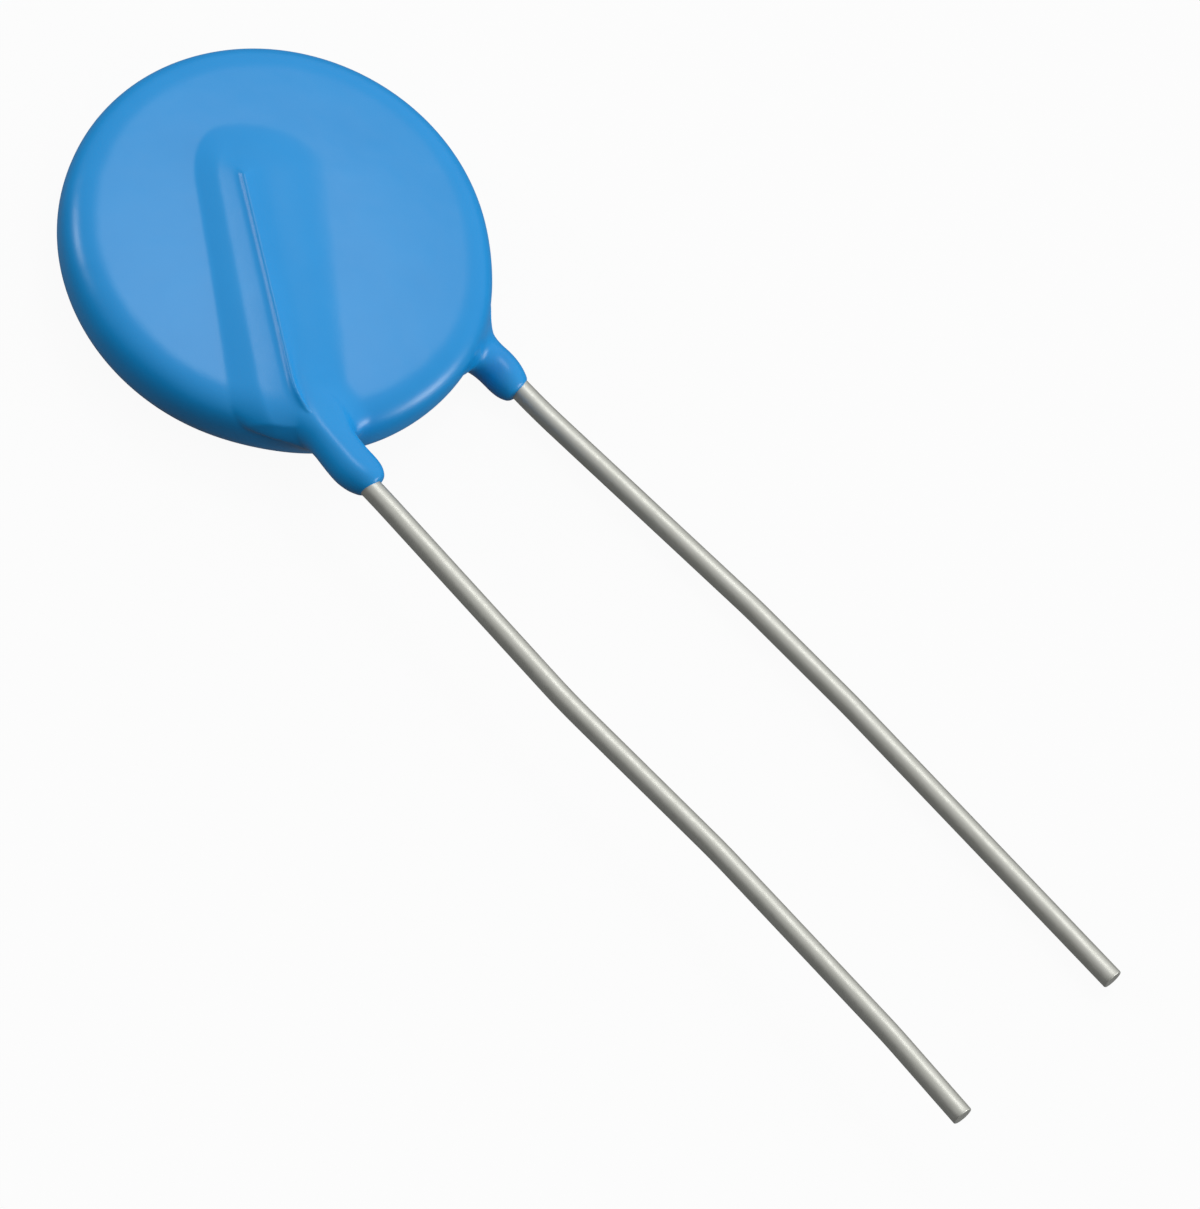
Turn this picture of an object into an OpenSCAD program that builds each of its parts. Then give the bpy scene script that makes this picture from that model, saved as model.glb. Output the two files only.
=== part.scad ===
// Metal oxide varistor: a zinc oxide disc with two radial leads in a dipped epoxy coat.
// It lies flat. X runs along the leads towards their cut ends, Y from the front lead
// to the back lead, Z out of the front face. The origin is midway between the leads,
// in the seating plane where the coat's legs end.

/* [Ceramic] */
// Diameter of the zinc oxide disc
ceramic_d = 14; // [12:0.1:16]
// Thickness of the zinc oxide disc
ceramic_t = 1.6; // [1.2:0.1:2.6]
// Chamfer on the edges of the disc
ceramic_chamfer = 0.15; // [0.05:0.05:0.4]
// Bare margin between the silver and the edge of the disc
silver_margin = 0.8; // [0.5:0.1:1.2]
// Thickness of each fired silver layer
silver_t = 0.03; // [0.02:0.01:0.1]

/* [Leads] */
// Diameter of the tinned copper wire
wire_d = 0.8; // [0.6:0.05:1]
// Distance between the two leads across the part, at the seating plane
lead_pitch = 8.55; // [7.5:0.05:9.5]
// Solder left between the wire and the silver
solder_film = 0.05; // [0.02:0.01:0.1]
// Slant of the soldered stretch across the face, in degrees
lead_slant = 31.5; // [26:0.5:36]
// Length of the stretch that is soldered to the silver
joint_length = 8.6; // [6:0.1:9.5]
// Radius of the bend between the soldered stretch and the leg
lead_bend_r = 3; // [2:0.1:4]
// Straight stretch of wire inside the leg
leg_wire = 3.3; // [2.6:0.1:4]
// Radius of the slight bends along the free wires
wire_bend_r = 30; // [20:1:40]
// Straight stretches of the free front wire, from the leg to its cut end
front_runs = [8.6, 6.2, 7.8, 3.3]; // [2:0.1:20]
// Turn before each of them, in degrees, towards the back lead
front_turns = [-1.8, 3.4, -2.4, -2.3]; // [-4:0.1:4]
// Straight stretches of the free back wire, from the leg to its cut end
back_runs = [9.1, 4.0, 13.3]; // [2:0.1:20]
// Turn before each of them, in degrees, towards the front lead
back_turns = [-3.3, 2.1, 1.6]; // [-4:0.1:4]

/* [Solder] */
// Width of the solder fillet on the silver
solder_w = 2.2; // [1.4:0.1:2.8]
// Height of the solder fillet above the silver
solder_h = 0.6; // [0.4:0.05:0.8]

/* [Coat] */
// Thickness of the coat over each face
face_coat = 0.7; // [0.5:0.05:1]
// Thickness of the coat round the edge of the ceramic
rim_coat = 0.85; // [0.6:0.05:1.2]
// Thickness of the coat over the buried wire
crest_coat = 0.4; // [0.25:0.05:0.6]
// How much further the rim swells between the two legs
rim_swell = 0.3; // [0.1:0.05:0.4]
// Radius of that fuller stretch of the rim
swell_r = 6.6; // [5.5:0.1:7.2]
// Distance from the centre of the disc to the seating plane
seat_dist = 9.5; // [9.2:0.1:10.5]
// Distance from the middle of the leads to the centre of the disc, across the part
disc_offset = 0.35; // [-0.5:0.05:0.5]
// Width of each rib's foot on the outer side of its wire
rib_outer = 2; // [1.2:0.1:2.4]
// Width of each rib's foot on the inner side of its wire
rib_inner = 2.5; // [1.8:0.1:2.8]
// Reach of the rounded end of each rib past the end of its wire
rib_end = 1.6; // [1:0.1:2.2]
// Thickness of the coat on the wire along each leg
leg_coat = 0.37; // [0.25:0.01:0.5]
// Thickness of the coat on the wire where each leg ends
tip_coat = 0.06; // [0.04:0.01:0.2]
// Length over which the end of each leg is rounded
tip_length = 1; // [0.3:0.05:1.4]
// Depth of the gusset under each lead where its leg leaves the rim
gusset = 2.4; // [1.6:0.1:3]

/* [Hidden] */
$fn = 64;

COAT_BLUE = "#3E92D6";
TINNED = "#B8BAB4";
SILVER = "#D8D8D2";
SOLDER = "#9DA0A0";
ZINC_OXIDE = "#4E4F4A";

wire_r = wire_d / 2;
silver_z = ceramic_t / 2 + silver_t;              // outer face of the silver
lead_z = silver_z + solder_film + wire_r;         // axis of each wire above the mid-plane
face_z = silver_z + face_coat;                    // face of the coat, and radius of its rim
coat_r = ceramic_d / 2 + rim_coat;
leg_r = wire_r + leg_coat;

// The lead's route through the coat, by distance inwards from the seating plane
bend_length = lead_bend_r * lead_slant * PI / 180;
joint_start = leg_wire + bend_length;
route_length = joint_start + joint_length;

// Where a run of wire meets a bend
bend_thinning = 0.005;   // how much the wire draws thinner in a bend
run_lap = 0.05;

// The coat along a lead: rings of points round the route
ring_points = 24;
solder_steps = 4;
solder_top = 80;         // the fillet's section stops this many degrees up its round
foot_sink = 0.05;        // how far the feet of a rib dip under the face
root_start = 0.8;        // where the leg starts to widen, from the seating plane
root_end = 5.4;          // where the leg has become the rib
rib_power = 3;           // how hollow the flanks of the rib are; 1 is a plain ellipse

// Eases from 0 to 1 as x goes from 0 to 1
function ease(x) = let (t = max(0, min(1, x))) t * t * (3 - 2 * t);
function mix(a, b, t) = a + (b - a) * t;

// Angle of the route at distance s, and its point in plan
function route_angle(s) = lead_slant * max(0, min(1, (s - leg_wire) / bend_length));
function route_point(s) =
    let (a = route_angle(s), on_leg = min(s, leg_wire), on_joint = max(0, s - joint_start))
    [-on_leg - lead_bend_r * sin(a) - on_joint * cos(a),
     lead_bend_r * (1 - cos(a)) + on_joint * sin(a)];

// One ring of the coat at distance s. Its upper half is the rib's crest and flanks,
// its lower half the gusset. swell is 1 along the route and falls to 0 round an end.
function coat_ring(s, swell) =
    let (root = ease((s - root_start) / (root_end - root_start)),
         grow = s < tip_length ? swell : 1,
         fade = s > route_length ? swell : 1,
         tube = mix(wire_r + tip_coat, leg_r, grow),
         outer = mix(tube, rib_outer, root) * fade,
         inner = mix(tube, rib_inner, root) * fade,
         side_z = mix(lead_z, face_z - foot_sink, root),
         crest_z = mix(lead_z + tube, lead_z + wire_r + crest_coat, root),
         rise = (crest_z - side_z) * pow(fade, rib_power),
         drop = mix(tube, gusset, root) * fade,
         power = mix(1, rib_power, root),
         a = route_angle(s),
         p = route_point(s))
    [for (k = [0:ring_points - 1])
        let (turn = -360 * (k + 0.5) / ring_points,
             across = cos(turn) * (cos(turn) > 0 ? inner : outer),
             up = sin(turn) > 0 ? rise * pow(sin(turn), power) : drop * sin(turn))
        [p[0] + across * sin(a), p[1] + across * cos(a), side_z + up]];

// Distances of the rings: round the tip, down the leg, along the rib, round its end
tip_steps = 4;
leg_steps = 12;
rib_steps = 4;
end_steps = 6;
end_stop = 0.98;         // the last ring stops just short of a point
function round_step(i, n) = 1 - cos(90 * i / n);
ring_places = concat(
    [for (i = [0:tip_steps - 1]) [tip_length * round_step(i, tip_steps), sin(90 * i / tip_steps)]],
    [for (i = [0:leg_steps - 1]) [mix(tip_length, root_end, i / leg_steps), 1]],
    [for (i = [0:rib_steps]) [mix(root_end, route_length, i / rib_steps), 1]],
    [for (i = [1:end_steps])
        let (t = end_stop * sin(90 * i / end_steps)) [route_length + rib_end * t, sqrt(1 - t * t)]]);

// Joins rings of n points each into one closed skin with flat ends
module ring_loft(rings) {
    n = len(rings[0]);
    last = (len(rings) - 1) * n;
    polyhedron(
        points = [for (ring = rings) each ring],
        faces = concat(
            [[for (k = [0:n - 1]) k]],
            [for (i = [0:len(rings) - 2], k = [0:n - 1], half = [0, 1])
                let (a = i * n + k, b = i * n + (k + 1) % n)
                half == 0 ? [a, a + n, b] : [b, a + n, b + n]],
            [[for (k = [n - 1:-1:0]) last + k]]));
}

// Places a piece of the front lead, or its twin on the back
module on_front() translate([0, -lead_pitch / 2, 0]) children();
module on_back() rotate([180, 0, 0]) on_front() children();
module at_disc() translate([-seat_dist, disc_offset, 0]) children();

// A bend of the wire, with its children at the far end; a positive turn is towards +Y
module wire_bend(turn, r) {
    side = turn < 0 ? -1 : 1;
    if (turn != 0)
        translate([0, side * r, 0])
            rotate([0, 0, turn < 0 ? 90 + turn : -90])
                rotate_extrude(angle = abs(turn)) translate([r, 0]) circle(r = wire_r - bend_thinning);
    translate([0, side * r, 0]) rotate([0, 0, turn]) translate([0, -side * r, 0]) children();
}

// Straight runs of wire along +X, each after its turn. A run laps a little into what
// comes before it, and into the next bend, so that the wire is one solid.
module wire_path(runs, turns, bend_r, i = 0) {
    if (i < len(runs)) {
        lap_after = i == len(runs) - 1 ? 0 : run_lap;
        wire_bend(turns[i], bend_r) {
            translate([-run_lap, 0, 0])
                rotate([0, 90, 0]) cylinder(r = wire_r, h = run_lap + runs[i] + lap_after);
            translate([runs[i], 0, 0]) wire_path(runs, turns, bend_r, i + 1);
        }
    }
}

// The wire from the seating plane inwards
module buried_wire()
    translate([0, 0, lead_z]) rotate([0, 0, 180])
        wire_path([leg_wire, joint_length], [0, -lead_slant], lead_bend_r);

module lead(runs, turns) color(TINNED) {
    buried_wire();
    translate([0, 0, lead_z]) wire_path(runs, turns, wire_bend_r);
}

// The solder fillet as laid on the silver, before the wire is taken out of it: a long
// drop with round ends, centred on the wire
module solder_fillet() {
    half = solder_w / 2;
    near = route_point(joint_start + half + wire_d);
    far = route_point(route_length);
    length = norm(far - near);
    translate([far[0], far[1], silver_z]) rotate([0, 0, -lead_slant])
        ring_loft([for (i = [0:solder_steps])
            let (rise = solder_top * i / solder_steps, r = half * cos(rise))
            [for (k = [0:ring_points - 1])
                let (turn = 360 * (k + 0.5) / ring_points)
                [(cos(turn) > 0 ? length : 0) + r * cos(turn), r * sin(turn),
                 solder_h * sin(rise) / sin(solder_top)]]]);
}

module solder() color(SOLDER) difference() {
    solder_fillet();
    buried_wire();
}

module electrode() color(SILVER)
    translate([0, 0, ceramic_t / 2]) cylinder(r = ceramic_d / 2 - silver_margin, h = silver_t);

module ceramic_disc() color(ZINC_OXIDE)
    rotate_extrude() {
        r = ceramic_d / 2;
        h = ceramic_t / 2;
        c = ceramic_chamfer;
        polygon([[0, -h], [r - c, -h], [r, c - h], [r, h - c], [r - c, h], [0, h]]);
    }

// Flat disc with a fully rounded rim
module pill(r)
    rotate_extrude() {
        translate([r - face_z, 0]) circle(r = face_z);
        translate([0, -face_z]) square([r - face_z, 2 * face_z]);
    }

// The coated disc, with the resin that gathers on its rim between the legs
module coat_disc() {
    pill(coat_r);
    translate([coat_r + rim_swell - swell_r, 0, 0]) pill(swell_r);
}

// Rib, gusset and leg of the coat over one lead
module coat_over_lead()
    ring_loft([for (place = ring_places) coat_ring(place[0], place[1])]);

module epoxy_coat() color(COAT_BLUE)
    difference() {
        union() {
            at_disc() coat_disc();
            on_front() coat_over_lead();
            on_back() coat_over_lead();
        }
        at_disc() ceramic_disc();
        at_disc() electrode();
        at_disc() rotate([180, 0, 0]) electrode();
        on_front() solder_fillet();
        on_back() solder_fillet();
        on_front() buried_wire();
        on_back() buried_wire();
    }

epoxy_coat();
at_disc() ceramic_disc();
at_disc() electrode();  // front_electrode
at_disc() rotate([180, 0, 0]) electrode();  // back_electrode
on_front() solder();  // front_solder
on_back() solder();  // back_solder
on_front() lead(front_runs, front_turns);  // front_lead
on_back() lead(back_runs, back_turns);  // back_lead
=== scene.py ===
"""Metal oxide varistor: a dipped disc with two tinned wires, lying on its back.

X runs along the leads towards their cut ends, Y from the front lead to the back lead and
Z out of the front face. The origin is midway between the leads, where the coat's legs end.
Lengths are in millimetres, and become metres when a mesh is made.
"""

import bpy
import numpy as np
from mathutils import Matrix, Vector


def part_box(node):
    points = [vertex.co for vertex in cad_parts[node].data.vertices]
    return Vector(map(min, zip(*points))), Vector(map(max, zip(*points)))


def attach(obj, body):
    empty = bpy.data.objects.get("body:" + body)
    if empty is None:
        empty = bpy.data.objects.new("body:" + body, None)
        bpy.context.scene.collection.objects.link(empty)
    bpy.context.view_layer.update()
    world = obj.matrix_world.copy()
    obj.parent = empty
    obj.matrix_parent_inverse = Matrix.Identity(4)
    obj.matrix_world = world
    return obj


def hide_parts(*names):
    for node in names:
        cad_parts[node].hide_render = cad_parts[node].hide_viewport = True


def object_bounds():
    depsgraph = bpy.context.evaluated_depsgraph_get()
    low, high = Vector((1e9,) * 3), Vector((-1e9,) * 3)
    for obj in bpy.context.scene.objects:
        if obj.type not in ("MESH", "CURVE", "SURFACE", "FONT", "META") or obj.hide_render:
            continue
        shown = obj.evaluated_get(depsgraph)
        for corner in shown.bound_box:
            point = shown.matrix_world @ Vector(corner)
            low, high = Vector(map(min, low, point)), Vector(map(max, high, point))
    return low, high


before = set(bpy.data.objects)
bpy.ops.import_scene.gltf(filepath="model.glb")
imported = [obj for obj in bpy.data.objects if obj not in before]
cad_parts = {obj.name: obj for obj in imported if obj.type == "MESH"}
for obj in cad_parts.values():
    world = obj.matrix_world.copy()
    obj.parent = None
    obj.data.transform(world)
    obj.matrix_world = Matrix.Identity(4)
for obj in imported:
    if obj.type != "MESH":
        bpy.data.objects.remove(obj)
cad_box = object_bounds()


# ---------------------------------------------------------------------------
# Epoxy coat
# The real piece is one skin of blue epoxy. The disc hangs by its wires and is dipped and
# cured, so the resin rounds the rim, drapes over each soldered wire as a rib, and creeps
# down each wire as a short leg with a soft root.
# ---------------------------------------------------------------------------
MM = 0.001
ceramic_low, ceramic_high = (np.array(corner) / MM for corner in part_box("ceramic_disc"))
coat_low, coat_high = (np.array(corner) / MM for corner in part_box("epoxy_coat"))
wire_low, wire_high = (np.array(corner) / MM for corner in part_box("front_lead"))

disc_x, disc_y = (ceramic_low[:2] + ceramic_high[:2]) / 2
wire_radius = (wire_high[2] - wire_low[2]) / 2
wire_height = (wire_high[2] + wire_low[2]) / 2  # of each wire's axis above the mid-plane
lead_pitch = 8.55              # between the wires' axes at the legs
lead_slant = np.radians(31.5)  # slant of the soldered stretch across the face
joint_length = 8.6             # length of that stretch
bend_radius = 3.0              # of the bend between it and the leg
leg_wire = 3.3                 # straight wire inside a leg
bend_end = leg_wire + bend_radius * lead_slant
route_length = bend_end + joint_length

# The disc and its rim
coat_radius = disc_x - coat_low[0]
face_height = 1.53             # half the thickness in the middle
crown = 0.2                    # the edge is thinner than the middle, 1 / (1 + crown) of it
crown_power = 3                # how flat the middle stays
rim_depth = 1.3                # how far in from the edge the rim starts to round off
rim_power = 2.5                # its section is a superellipse, 2 being a plain ellipse
skirt = 0.3                    # extra coat on the rim between the legs
skirt_angle = np.radians(40)   # and how far round it reaches
skirt_power = 4                # how evenly, 2 being a plain bell curve

# The ribs, in millimetres across the wire and in shares of the height
crest_height = coat_high[2]
rib_inner = 2.2                # reach of a foot on the side of the other wire, at the bend
rib_outer = 2.2                # and on the outer side
inner_growth = 0.12            # change of each reach for every millimetre beyond the bend
outer_growth = -0.07
rib_end = 2.3                  # length of a rib's fall past the wire's end
end_fall = 0.4                 # which starts this far before it
crest_round = 0.03             # roundness of the crest, as a share of the reach
side_blend = 0.01              # and of the change from one flank to the other
toe_round = 0.2                # softness of the inner flank's toe
shoulder_reach = 0.14          # the outer flank drops to its shelf over this share of its reach
shoulder_drop = 0.13           # by this share of the height,
shelf_drop = 0.2               # loses this much along the shelf, and the rest in the bank
bank_start = 0.48              # the bank starts at this share of the reach

# The legs, along and across their wires
leg_radii = (0.82, 0.75)       # of the front and the back leg
leg_ends = (0.0, 0.15)         # where each of them ends
leg_inward = 0.11              # a leg stands this far off its wire, towards the other leg,
leg_lean = 0.22                # and this much further at its root
lean_start = 1.0               # from here up the leg, over this length
lean_length = 2.5
leg_sink = 0.05                # it lies this far below its wire,
leg_dive = 0.4                 # and this much further under the rib
dive_start = 2.8               # from here up the leg, over this length
dive_length = 2.0
tip_radius = 0.43              # a leg's radius where the wire comes out
tip_length = 1.3               # length over which it rounds up to its full radius
tip_power = 3                  # how blunt it is
tip_edge = 0.12                # softness of the edge round the wire
tip_slant = 0.3                # the tip is cut back this much for each millimetre outwards
roof_slope = np.radians(20)    # the flat along a leg that carries on the rib's inner flank
roof_start = -0.1              # where across the wire it is at the crest's height
roof_edge = 0.2                # softness of its edge
root_fillet = 1.2              # softness of the join between leg and disc

# The web of resin between a rib, its leg and the disc
web_start = 0.9                # it starts this far up a leg
web_depth = 0.7                # and reaches down to this height above the mid-plane
web_edge = 0.5                 # softness of these two limits
web_blend = 1.6                # softness of its joins, at their softest a quarter of this
least_blend = 0.001            # and the least of it
web_hold = 4.0                 # how fast it lets go above the disc
rim_hold = 14.0                # and past its rim
crest_sink = 0.5               # how far the crest sinks into the leg
sink_from = 4.5                # where it starts to sink, and over what length
sink_length = 3.0


def ease(t):
    """Goes smoothly from 0 to 1 as t does, as 3 t squared less 2 t cubed."""
    t = np.clip(t, 0, 1)
    return t * t * (3 - 2 * t)


def smooth_min(a, b, width):
    """The smaller of a and b, less a parabola where they differ by less than width."""
    return np.minimum(a, b) - np.maximum(width - np.abs(a - b), 0) ** 2 / (4 * width)


def along_route(x, y):
    """Distance s from the leg's end along the buried wire, and signed offset n across it.

    The route is a straight, an arc and a straight; each point takes the stretch whose
    normals it lies between. n is positive on the side of the other lead.
    """
    run, off = -x, y + lead_pitch / 2
    from_centre = np.stack([run - leg_wire, off - bend_radius])
    turn = np.arctan2(from_centre[0], -from_centre[1])
    s_arc = leg_wire + bend_radius * np.clip(turn, 0, lead_slant)
    n_arc = bend_radius - np.hypot(*from_centre)
    c, d = np.cos(lead_slant), np.sin(lead_slant)
    s_joint = bend_end + from_centre[0] * c + from_centre[1] * d
    n_joint = bend_radius + from_centre[1] * c - from_centre[0] * d
    s = np.where(turn < 0, run, np.where(turn > lead_slant, s_joint, s_arc))
    n = np.where(turn < 0, off, np.where(turn > lead_slant, n_joint, n_arc))
    return s, n


def drape(s, n):
    """How much of a rib's height is left at (s, n): 1 on its crest and 0 past its foot.

    t goes from 0 on the crest to 1 at the foot, as the distance from the wire over the
    reach. The inner flank is a straight slope with a soft toe. The outer one drops from
    the crest to a gentle shelf, and ends in a bank. Each is a sum of such falls.
    """
    beyond = np.clip(s - bend_end, 0, joint_length)
    reach = np.where(n > 0, rib_inner + inner_growth * beyond, rib_outer + outer_growth * beyond)
    across = n / reach
    past = np.maximum(s - route_length + end_fall, 0) / rib_end
    t = np.sqrt(across**2 + past**2 + crest_round**2) - crest_round
    inner = -smooth_min((1 + toe_round) * t - 1, 0, toe_round)
    shoulder = np.clip(t / shoulder_reach, 0, 1)
    shelf = np.clip(t, 0, 1)
    bank = ease((t - bank_start) / (1 - bank_start))
    outer = 1 - shoulder_drop * shoulder * (2 - shoulder) - shelf_drop * shelf * (2 - shelf)
    outer -= (1 - shoulder_drop - shelf_drop) * bank
    outer_share = ease(-across / np.sqrt(across**2 + past**2 + side_blend**2))
    return inner + (outer - inner) * outer_share


def leg_distance(s, n, z, leg_radius):
    """Distance to a leg: a round bar along the wire, with a blunt tip.

    The bar's radius grows from the tip as 1 less a power of the length left. Its axis
    starts on the wire, and leans towards the other leg and dives under the rib by easing.
    A flat cut, the roof, carries the slope of the rib's inner flank on along the bar.
    """
    depth = s + tip_slant * n
    full = 1 - (1 - np.clip(depth / tip_length, 0, 1)) ** tip_power
    radius = tip_radius + (leg_radius - tip_radius) * full
    across = n - leg_inward * full - leg_lean * ease((s - lean_start) / lean_length)
    rise = z - wire_height + leg_sink * full + leg_dive * ease((s - dive_start) / dive_length)
    beyond = np.maximum(s - bend_end, 0)
    bar = radius - np.sqrt(across**2 + rise**2 + beyond**2)
    roof = (crest_height - z) * np.cos(roof_slope) - (n - roof_start) * np.sin(roof_slope)
    return -smooth_min(smooth_min(bar, roof, roof_edge), np.minimum(s, depth), tip_edge)


def web_distance(s, n, z, disc, past_rim, held):
    """Distance to the web: the distances to disc and crest, mixed by held.

    The disc's is made greater away from the disc, by a share of itself and of the
    distance past the rim, so that the web lets go there. The crest sinks towards the tip
    of the leg, and the web is cut off below web_depth and before web_start.
    """
    loose = disc * (1 + web_hold * np.maximum(disc, 0) + rim_hold * past_rim)
    crest = crest_height - crest_sink * ease((sink_from - s) / sink_length)
    web = loose * (1 - held) + (z - crest) * held
    return -smooth_min(smooth_min(-web, z - web_depth, web_edge), s - web_start, web_edge)


def coat_distance(points):
    """Less than 0 inside the coat, 0 on its skin, in about millimetres outside it.

    The disc is a superellipse round a flat middle, fuller towards the legs by a bell
    curve of the angle. Each leg and each web is joined to it by a soft minimum, the front
    ones above the mid-plane and the back ones below it.
    """
    x, y, z = points.T
    dx, dy = x - disc_x, y - disc_y
    fuller = skirt * np.exp(-((np.arctan2(dy, dx) / skirt_angle) ** skirt_power))
    out = np.hypot(dx, dy)
    past_flat = np.maximum(out - (coat_radius - rim_depth) - fuller, 0) / rim_depth
    past_rim = np.maximum(out - coat_radius - fuller, 0)
    level = np.abs(z) * (1 + crown * (out / coat_radius) ** crown_power) / face_height
    disc = face_height * ((past_flat**rim_power + level**rim_power) ** (1 / rim_power) - 1)
    skin = disc
    for side, leg_end, leg_radius in zip((1, -1), leg_ends, leg_radii):
        s, n = along_route(x, side * y)
        up = side * z
        skin = smooth_min(skin, leg_distance(s - leg_end, n, up, leg_radius), root_fillet)
        held = drape(s, n)
        softness = web_blend * held * (1 - held) + least_blend
        skin = smooth_min(skin, web_distance(s, n, up, disc, past_rim, held), softness)
    return skin


def onto_level(distance, points, steps, reach):
    """Moves points onto the zero level of distance by Newton's steps along its slope.

    The slope is taken over a tiny probe along each axis, and no step is past reach.
    """
    probe = 1e-4
    least_slope = 1e-6
    for _ in range(steps):
        value = distance(points)
        slope = np.stack([distance(points + probe * axis) - value for axis in np.eye(3)], 1) / probe
        step = value / np.maximum((slope**2).sum(1), least_slope)
        points = points - slope * np.clip(step, -reach, reach)[:, None]
    return points


def level_skin(distance, low, high, pitch):
    """Vertices and four-sided faces of the surface where distance is 0.

    Each cell of a cubic grid that the surface passes gets one vertex, at the middle of
    the places where it crosses the cell's edges, and each crossed edge gets one face
    that joins the four cells round it.
    """
    axes = [np.arange(a, b + pitch, pitch) for a, b in zip(low, high)]
    grid = np.stack(np.meshgrid(*axes, indexing="ij"), -1)
    value = distance(grid.reshape(-1, 3)).reshape(grid.shape[:3])
    inside = value < 0
    cells = tuple(count - 1 for count in value.shape)
    total = np.zeros(cells + (3,))
    crossings = np.zeros(cells)
    edges = []
    for axis in range(3):
        first = [slice(None)] * 3
        second = [slice(None)] * 3
        first[axis], second[axis] = slice(None, -1), slice(1, None)
        first, second = tuple(first), tuple(second)
        crossed = inside[first] != inside[second]
        fall = np.where(crossed, value[first] - value[second], 1)
        part = np.where(crossed, value[first] / fall, 0)
        place = grid[first] + (grid[second] - grid[first]) * part[..., None]
        others = [other for other in range(3) if other != axis]
        for one in (0, 1):
            for two in (0, 1):
                near = [slice(None)] * 3
                near[others[0]] = slice(one, one + cells[others[0]])
                near[others[1]] = slice(two, two + cells[others[1]])
                near = tuple(near)
                total += np.where(crossed[near][..., None], place[near], 0)
                crossings += crossed[near]
        edges.append((axis, others, np.argwhere(crossed), inside[first][crossed]))
    used = crossings > 0
    number = np.full(cells, -1)
    number[used] = np.arange(used.sum())
    points = total[used] / crossings[used][:, None]
    faces = []
    for axis, others, at, outward in edges:
        step_one, step_two = np.eye(3, dtype=int)[others]
        ring = [at - step_one - step_two, at - step_two, at, at - step_one]
        quads = np.stack([number[tuple(corner.T)] for corner in ring], 1)
        forward = outward if axis != 1 else ~outward  # round Y the ring runs the other way
        faces.append(np.where(forward[:, None], quads, quads[:, ::-1]))
    return points, np.concatenate(faces)


def relax(points, faces):
    """Moves each vertex to the middle of its neighbours, so that the faces are even."""
    total = np.zeros_like(points)
    neighbours = np.zeros(len(points))
    for corner in range(4):
        a, b = faces[:, corner], faces[:, (corner + 1) % 4]
        for axis in range(3):
            total[:, axis] += np.bincount(a, points[b, axis], len(points))
            total[:, axis] += np.bincount(b, points[a, axis], len(points))
        neighbours += np.bincount(a, minlength=len(points)) + np.bincount(b, minlength=len(points))
    return total / neighbours[:, None]


def make_piece(name, points, faces):
    """A smooth-shaded object at the origin, from vertices in millimetres and lists of corners."""
    mesh = bpy.data.meshes.new(name)
    mesh.from_pydata((points * MM).tolist(), [], faces)
    mesh.validate()
    mesh.shade_smooth()
    piece = bpy.data.objects.new(name, mesh)
    bpy.context.scene.collection.objects.link(piece)
    return piece


grid_pitch = 0.085
grid_margin = 0.35             # past the coat's box, so that the skin closes inside the grid
relax_passes = 3
steps_between = 2
last_steps = 4
skin_points, skin_faces = level_skin(
    coat_distance, coat_low - grid_margin, coat_high + grid_margin, grid_pitch)
for _ in range(relax_passes):
    skin_points = onto_level(coat_distance, skin_points, steps_between, grid_pitch)
    skin_points = relax(skin_points, skin_faces)
skin_points = onto_level(coat_distance, skin_points, last_steps, grid_pitch)
coat = make_piece("coat_skin", skin_points, skin_faces.tolist())


def linear(hex_colour):
    """Linear RGBA of an sRGB colour such as "3E92D6", by the sRGB curve."""
    srgb = np.array([int(hex_colour[i:i + 2], 16) for i in (0, 2, 4)]) / 255
    rgb = np.where(srgb < 0.04045, srgb / 12.92, ((srgb + 0.055) / 1.055) ** 2.4)
    return (*rgb, 1)


def new_finish(name):
    """A material with only its output, and its node tree."""
    finish = bpy.data.materials.new(name)
    finish.use_nodes = True
    finish.node_tree.nodes.clear()
    return finish, finish.node_tree


def add(tree, kind, settings=(), links=()):
    """Adds a node. settings are values for its properties and inputs, links feed its inputs."""
    node = tree.nodes.new(kind)
    for key, value in dict(settings).items():
        if isinstance(key, str) and hasattr(node, key) and key not in node.inputs:
            setattr(node, key, value)
        else:
            node.inputs[key].default_value = value
    for key, source in dict(links).items():
        tree.links.new(source, node.inputs[key])
    return node


def dipped_epoxy():
    """Dipped and cured epoxy: satin gloss with a fine orange peel and faint clouding."""
    finish, tree = new_finish("dipped_epoxy")
    peel_scale = 1 / (0.5 * MM)      # ripples half a millimetre apart
    cloud_scale = 1 / (2.2 * MM)     # pigment clouds and slow flow, two millimetres apart
    place = add(tree, "ShaderNodeTexCoord").outputs["Object"]
    peel = add(tree, "ShaderNodeTexNoise", {"Scale": peel_scale, "Detail": 3.0}, {"Vector": place})
    clouds = add(tree, "ShaderNodeTexNoise", {"Scale": cloud_scale, "Detail": 2.0}, {"Vector": place})
    tint = add(tree, "ShaderNodeMix",
               {"data_type": "RGBA", 6: linear("0897E4"), 7: linear("139EEB")},
               {0: clouds.outputs["Fac"]})
    flow = add(tree, "ShaderNodeBump", {"Strength": 1.0, "Distance": 0.03 * MM},
               {"Height": clouds.outputs["Fac"]})
    bump = add(tree, "ShaderNodeBump", {"Strength": 0.15, "Distance": 0.02 * MM},
               {"Height": peel.outputs["Fac"], "Normal": flow.outputs["Normal"]})
    shader = add(tree, "ShaderNodeBsdfPrincipled", {"Roughness": 0.34, "IOR": 1.5},
                 {"Base Color": tint.outputs[2], "Normal": bump.outputs["Normal"]})
    add(tree, "ShaderNodeOutputMaterial", (), {"Surface": shader.outputs["BSDF"]})
    return finish


coat.data.materials.append(dipped_epoxy())
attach(coat, "root")
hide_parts("epoxy_coat")


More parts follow.
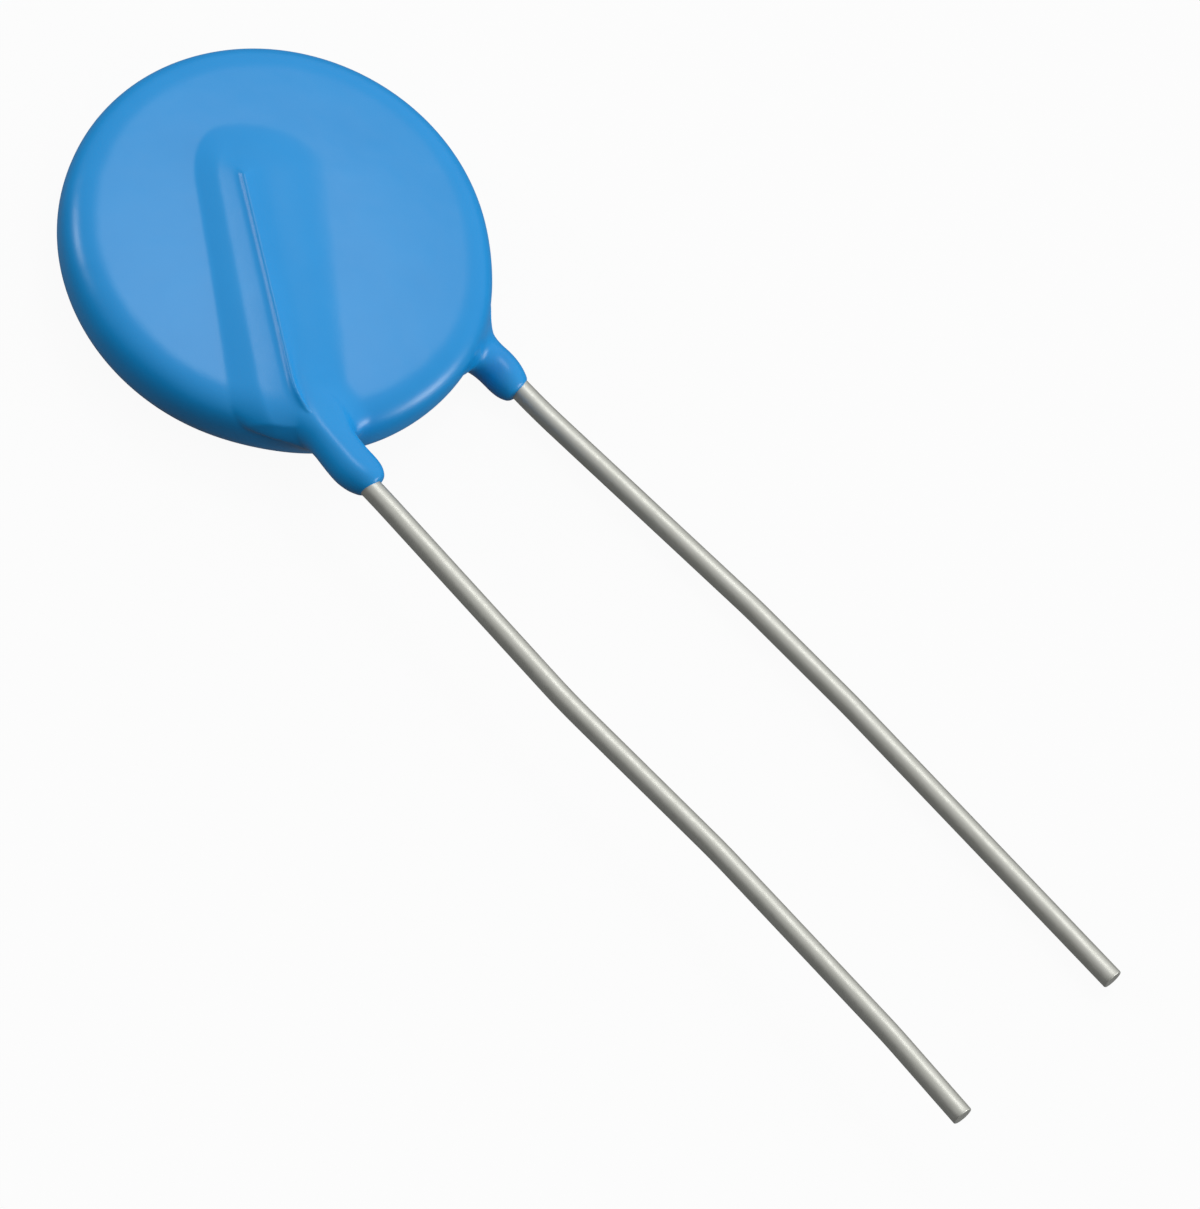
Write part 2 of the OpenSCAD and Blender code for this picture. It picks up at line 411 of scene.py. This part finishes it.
# ---------------------------------------------------------------------------
# Leads
# Each is one length of 0.8 mm copper wire, drawn and then tinned. A machine bends it
# under the disc, and handling has left slight bends further down. The ends are cropped.
# ---------------------------------------------------------------------------
free_bend_radius = 30.0                   # of the slight bends outside the coat
front_runs = (8.6, 6.2, 7.8, 3.3)         # straight stretches from the leg to the cut end
front_turns = (-1.8, 3.4, -2.4, -2.3)     # degrees before each, towards the other lead
back_runs = (9.1, 4.0, 13.3)
back_turns = (-3.3, 2.1, 1.6)
route_step = 0.2                          # between the rings of the tube
wire_sides = 40
crop_edge = 0.05                          # rounding where an end is cropped
edge_turns = np.radians([0, 30, 60, 90])  # and the steps round it
face_rings = np.array([0.02, 0.6])        # rings on a cropped face, as shares of its radius


def wire_route(runs, turns):
    """Distance and heading along a wire, from its soldered end to its cropped end.

    The heading changes evenly over each bend, by its turn, and holds along each run. It
    is 0 along the leg. seat is the distance at which the wire leaves the leg.
    """
    pieces = [(joint_length, 0.0), (bend_radius * lead_slant, lead_slant), (leg_wire, 0.0)]
    for run, turn in zip(runs, turns):
        angle = np.radians(turn)
        pieces += [(free_bend_radius * abs(angle), angle), (run, 0.0)]
    lengths, bends = np.array(pieces).T
    ends = np.cumsum(lengths)
    s = np.linspace(0, ends[-1], int(ends[-1] / route_step))
    heading = np.interp(s, np.concatenate([[0], ends]), np.concatenate([[0], np.cumsum(bends)]))
    seat = ends[2]
    return s, heading - lead_slant, seat


def wire_tube(runs, turns):
    """A round tube carried along a wire's route, with its ends cropped and closed.

    The route's points add up its steps along the heading. A ring stands square to the
    heading at each, and at each end the rings turn in over a small rounded edge.
    """
    s, heading, seat = wire_route(runs, turns)
    step = np.diff(s)
    middle = (heading[1:] + heading[:-1]) / 2
    x = np.concatenate([[0], np.cumsum(step * np.cos(middle))])
    y = np.concatenate([[0], np.cumsum(step * np.sin(middle))])
    x -= np.interp(seat, s, x)
    y -= np.interp(seat, s, y) + lead_pitch / 2
    inset = crop_edge * (1 - np.cos(edge_turns))
    edge = wire_radius - crop_edge * (1 - np.sin(edge_turns))
    face = (wire_radius - crop_edge) * face_rings
    ring_s = np.concatenate([[0, 0], inset, s[1:-1], s[-1] - inset[::-1], [s[-1], s[-1]]])
    full = np.full(len(s) - 2, wire_radius)
    ring_r = np.concatenate([face, edge, full, edge[::-1], face[::-1]])
    ring_x, ring_y, ring_heading = (np.interp(ring_s, s, value) for value in (x, y, heading))
    turn = 2 * np.pi * np.arange(wire_sides) / wire_sides
    across = ring_r[:, None] * np.cos(turn)
    points = np.stack([ring_x[:, None] - across * np.sin(ring_heading)[:, None],
                       ring_y[:, None] + across * np.cos(ring_heading)[:, None],
                       wire_height + ring_r[:, None] * np.sin(turn)], -1).reshape(-1, 3)
    ring, corner = np.meshgrid(np.arange(len(ring_s) - 1), np.arange(wire_sides), indexing="ij")
    a, b = ring * wire_sides + corner, ring * wire_sides + (corner + 1) % wire_sides
    faces = np.stack([a, b, b + wire_sides, a + wire_sides], -1).reshape(-1, 4).tolist()
    last = (len(ring_s) - 1) * wire_sides
    faces.append(list(range(wire_sides))[::-1])
    faces.append(list(range(last, last + wire_sides)))
    return points, faces


def turned_over(points):
    """The same shape half a turn about X, as the back of the part is to its front."""
    return points * [1, -1, -1]


def tinned_copper():
    """Drawn copper wire under dull tin: a soft metal sheen, drawn lines and faint pitting."""
    finish, tree = new_finish("tinned_copper")
    line_scale = 1 / (0.12 * MM)     # drawn lines, coarser than real so that they show
    line_stretch = (0.12, 1.0, 1.0)  # and long along the wire
    pit_scale = 1 / (0.25 * MM)
    place = add(tree, "ShaderNodeTexCoord").outputs["Object"]
    stretch = add(tree, "ShaderNodeMapping", {"Scale": line_stretch}, {"Vector": place})
    lines = add(tree, "ShaderNodeTexNoise", {"Scale": line_scale, "Detail": 3.0},
                {"Vector": stretch.outputs["Vector"]})
    pits = add(tree, "ShaderNodeTexNoise", {"Scale": pit_scale, "Detail": 2.0}, {"Vector": place})
    dull = add(tree, "ShaderNodeMapRange", {"To Min": 0.44, "To Max": 0.56},
               {"Value": pits.outputs["Fac"]})
    tint = add(tree, "ShaderNodeMix",
               {"data_type": "RGBA", 6: linear("CACBC2"), 7: linear("DEDED8")},
               {0: lines.outputs["Fac"]})
    bump = add(tree, "ShaderNodeBump", {"Strength": 0.15, "Distance": 0.01 * MM},
               {"Height": lines.outputs["Fac"]})
    shader = add(tree, "ShaderNodeBsdfPrincipled", {"Metallic": 1.0},
                 {"Base Color": tint.outputs[2], "Roughness": dull.outputs["Result"],
                  "Normal": bump.outputs["Normal"]})
    add(tree, "ShaderNodeOutputMaterial", (), {"Surface": shader.outputs["BSDF"]})
    return finish


front_points, front_faces = wire_tube(front_runs, front_turns)
back_points, back_faces = wire_tube(back_runs, back_turns)
front_wire = make_piece("front_wire", front_points, front_faces)
back_wire = make_piece("back_wire", turned_over(back_points), back_faces)
wire_finish = tinned_copper()
for wire, node in ((front_wire, "front_lead"), (back_wire, "back_lead")):
    wire.data.materials.append(wire_finish)
    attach(wire, "root")
    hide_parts(node)


# ---------------------------------------------------------------------------
# Sealed pieces
# Under the coat lie the sintered zinc oxide disc, a silver layer fired on each face, and
# the solder that holds each wire. They keep their solids and get their own finishes.
# ---------------------------------------------------------------------------
def grained(name, dark, light, grain, roughness, metallic):
    """A plain finish with grain of the given size in millimetres between two colours."""
    finish, tree = new_finish(name)
    place = add(tree, "ShaderNodeTexCoord").outputs["Object"]
    noise = add(tree, "ShaderNodeTexNoise", {"Scale": 1 / (grain * MM), "Detail": 4.0},
                {"Vector": place})
    tint = add(tree, "ShaderNodeMix", {"data_type": "RGBA", 6: linear(dark), 7: linear(light)},
               {0: noise.outputs["Fac"]})
    bump = add(tree, "ShaderNodeBump", {"Strength": 0.2, "Distance": 0.01 * MM},
               {"Height": noise.outputs["Fac"]})
    shader = add(tree, "ShaderNodeBsdfPrincipled", {"Roughness": roughness, "Metallic": metallic},
                 {"Base Color": tint.outputs[2], "Normal": bump.outputs["Normal"]})
    add(tree, "ShaderNodeOutputMaterial", (), {"Surface": shader.outputs["BSDF"]})
    return finish


# Dark, matte and gritty ceramic, chalky matte silver, and smooth cast solder
sintered_zinc_oxide = grained("sintered_zinc_oxide", "45463F", "56574F",
                              grain=0.08, roughness=0.75, metallic=0.0)
fired_silver = grained("fired_silver", "C9C7BE", "DEDCD4",
                       grain=0.05, roughness=0.5, metallic=1.0)
bright_solder = grained("bright_solder", "8F9292", "A9ABAA",
                        grain=0.3, roughness=0.28, metallic=1.0)
sealed = {"ceramic_disc": sintered_zinc_oxide,
          "front_electrode": fired_silver, "back_electrode": fired_silver,
          "front_solder": bright_solder, "back_solder": bright_solder}
for node, finish in sealed.items():
    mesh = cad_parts[node].data
    mesh.materials.clear()
    mesh.materials.append(finish)


# ---------------------------------------------------------------------------
# Floor, light and camera
# A white sheet under soft studio light, seen from above the disc's edge through a long
# lens, so that the part shows almost without perspective. Lengths here are in metres.
# ---------------------------------------------------------------------------
sheet_size = 2.0
paper_white = "FDFDFD"
glow_share = 0.96              # share of the sheet's own white, the rest takes the shadow
mirrored_white = 0.15          # share of it in reflections, so that the rim and wires have dark sides
bounce_grey = "303336"         # what the underside of the part gets back from the sheet

scene = bpy.context.scene
scene.view_settings.view_transform = "Standard"

floor_z = cad_box[0][2]
bpy.ops.mesh.primitive_plane_add(size=sheet_size, location=(0, 0, floor_z))
floor = bpy.context.object
floor.name = "white_sheet"
paper, paper_tree = new_finish("white_paper")
rays = add(paper_tree, "ShaderNodeLightPath")
gloss = add(paper_tree, "ShaderNodeMath", {"operation": "MULTIPLY", 1: mirrored_white},
            {0: rays.outputs["Is Glossy Ray"]})
camera_or_gloss = add(paper_tree, "ShaderNodeMath", {"operation": "MAXIMUM"},
                      {0: rays.outputs["Is Camera Ray"], 1: gloss.outputs["Value"]})
seen = add(paper_tree, "ShaderNodeMath", {"operation": "MAXIMUM"},
           {0: camera_or_gloss.outputs["Value"], 1: rays.outputs["Is Transmission Ray"]})
bounce = add(paper_tree, "ShaderNodeBsdfDiffuse", {"Color": linear(bounce_grey)})
sheet = add(paper_tree, "ShaderNodeBsdfDiffuse", {"Color": linear(paper_white)})
glow = add(paper_tree, "ShaderNodeEmission", {"Color": linear(paper_white), "Strength": 1.0})
lit_sheet = add(paper_tree, "ShaderNodeMixShader", {0: glow_share},
                {1: sheet.outputs["BSDF"], 2: glow.outputs["Emission"]})
surface = add(paper_tree, "ShaderNodeMixShader", (),
              {0: seen.outputs["Value"], 1: bounce.outputs["BSDF"], 2: lit_sheet.outputs["Shader"]})
add(paper_tree, "ShaderNodeOutputMaterial", (), {"Surface": surface.outputs["Shader"]})
floor.data.materials.append(paper)

# The room fades from light above the back lead to dark below the front one. The camera
# itself sees it white, like the sheet.
room_axis = (-0.1, 0.6, 0.8)
room_dark, room_light = 0.03, 0.79
fade_from, fade_to = -0.5, 0.9  # heights along that axis

world = bpy.data.worlds.new("studio")
world.use_nodes = True
scene.world = world
room_tree = world.node_tree
room_way = add(room_tree, "ShaderNodeTexCoord")
room_side = add(room_tree, "ShaderNodeVectorMath", {"operation": "DOT_PRODUCT", 1: room_axis},
                {0: room_way.outputs["Generated"]})
room_level = add(room_tree, "ShaderNodeMapRange",
                 {"From Min": fade_from, "From Max": fade_to,
                  "To Min": room_dark, "To Max": room_light},
                 {"Value": room_side.outputs["Value"]})
room_rays = add(room_tree, "ShaderNodeLightPath")
room_seen = add(room_tree, "ShaderNodeMath", {"operation": "MAXIMUM"},
                {0: room_level.outputs["Result"], 1: room_rays.outputs["Is Camera Ray"]})
backdrop = room_tree.nodes["Background"]
backdrop.inputs["Color"].default_value = (1, 1, 1, 1)
room_tree.links.new(room_seen.outputs["Value"], backdrop.inputs["Strength"])

disc_middle = np.array([-0.0095, 0.0, 0.0])


def softbox(name, direction, distance, size, watts):
    """A square area lamp, in a direction and at a distance from the origin, that faces the disc."""
    lamp = bpy.data.lights.new(name, "AREA")
    lamp.size = size
    lamp.energy = watts
    box = bpy.data.objects.new(name, lamp)
    scene.collection.objects.link(box)
    place = np.array(direction) * distance
    box.location = place
    box.rotation_euler = Vector(disc_middle - place).to_track_quat("-Z", "Y").to_euler()


# The sheen is mirrored in the front face, the window in the rim between the legs, and the
# card in the rim on the far side
softbox("sheen", (-0.19, 0.37, 0.909), distance=0.8, size=0.24, watts=0.85)
softbox("window", (0.88, 0.47, 0.10), distance=0.6, size=0.21, watts=1.45)
softbox("card", (-0.857, -0.387, 0.343), distance=0.6, size=0.15, watts=0.7)

# The camera's axes in the part's frame: right and up in the picture, and back to the lens
right = np.array([0.6813, 0.6963, 0.2257])
up = np.array([-0.7044, 0.5399, 0.4607])
back = np.cross(right, up)
view_centre = np.array([8.1, -0.18, 0.0]) * MM
view_distance = 1.0
pixels_per_mm = 28.17          # scale of the part in a picture of picture_long_side pixels
picture_long_side = 1209
film_width = 36.0              # of the camera's sensor, in millimetres
far_clip = 10.0
camera_data = bpy.data.cameras.new("camera")
camera = bpy.data.objects.new("camera", camera_data)
scene.collection.objects.link(camera)
turned = np.eye(4)
turned[:3, 0], turned[:3, 1], turned[:3, 2] = right, up, back
turned[:3, 3] = view_centre + view_distance * back
camera.matrix_world = Matrix(turned.tolist())
camera_data.sensor_width = film_width
camera_data.lens = pixels_per_mm / MM * view_distance / picture_long_side * film_width
camera_data.clip_end = far_clip
scene.camera = camera
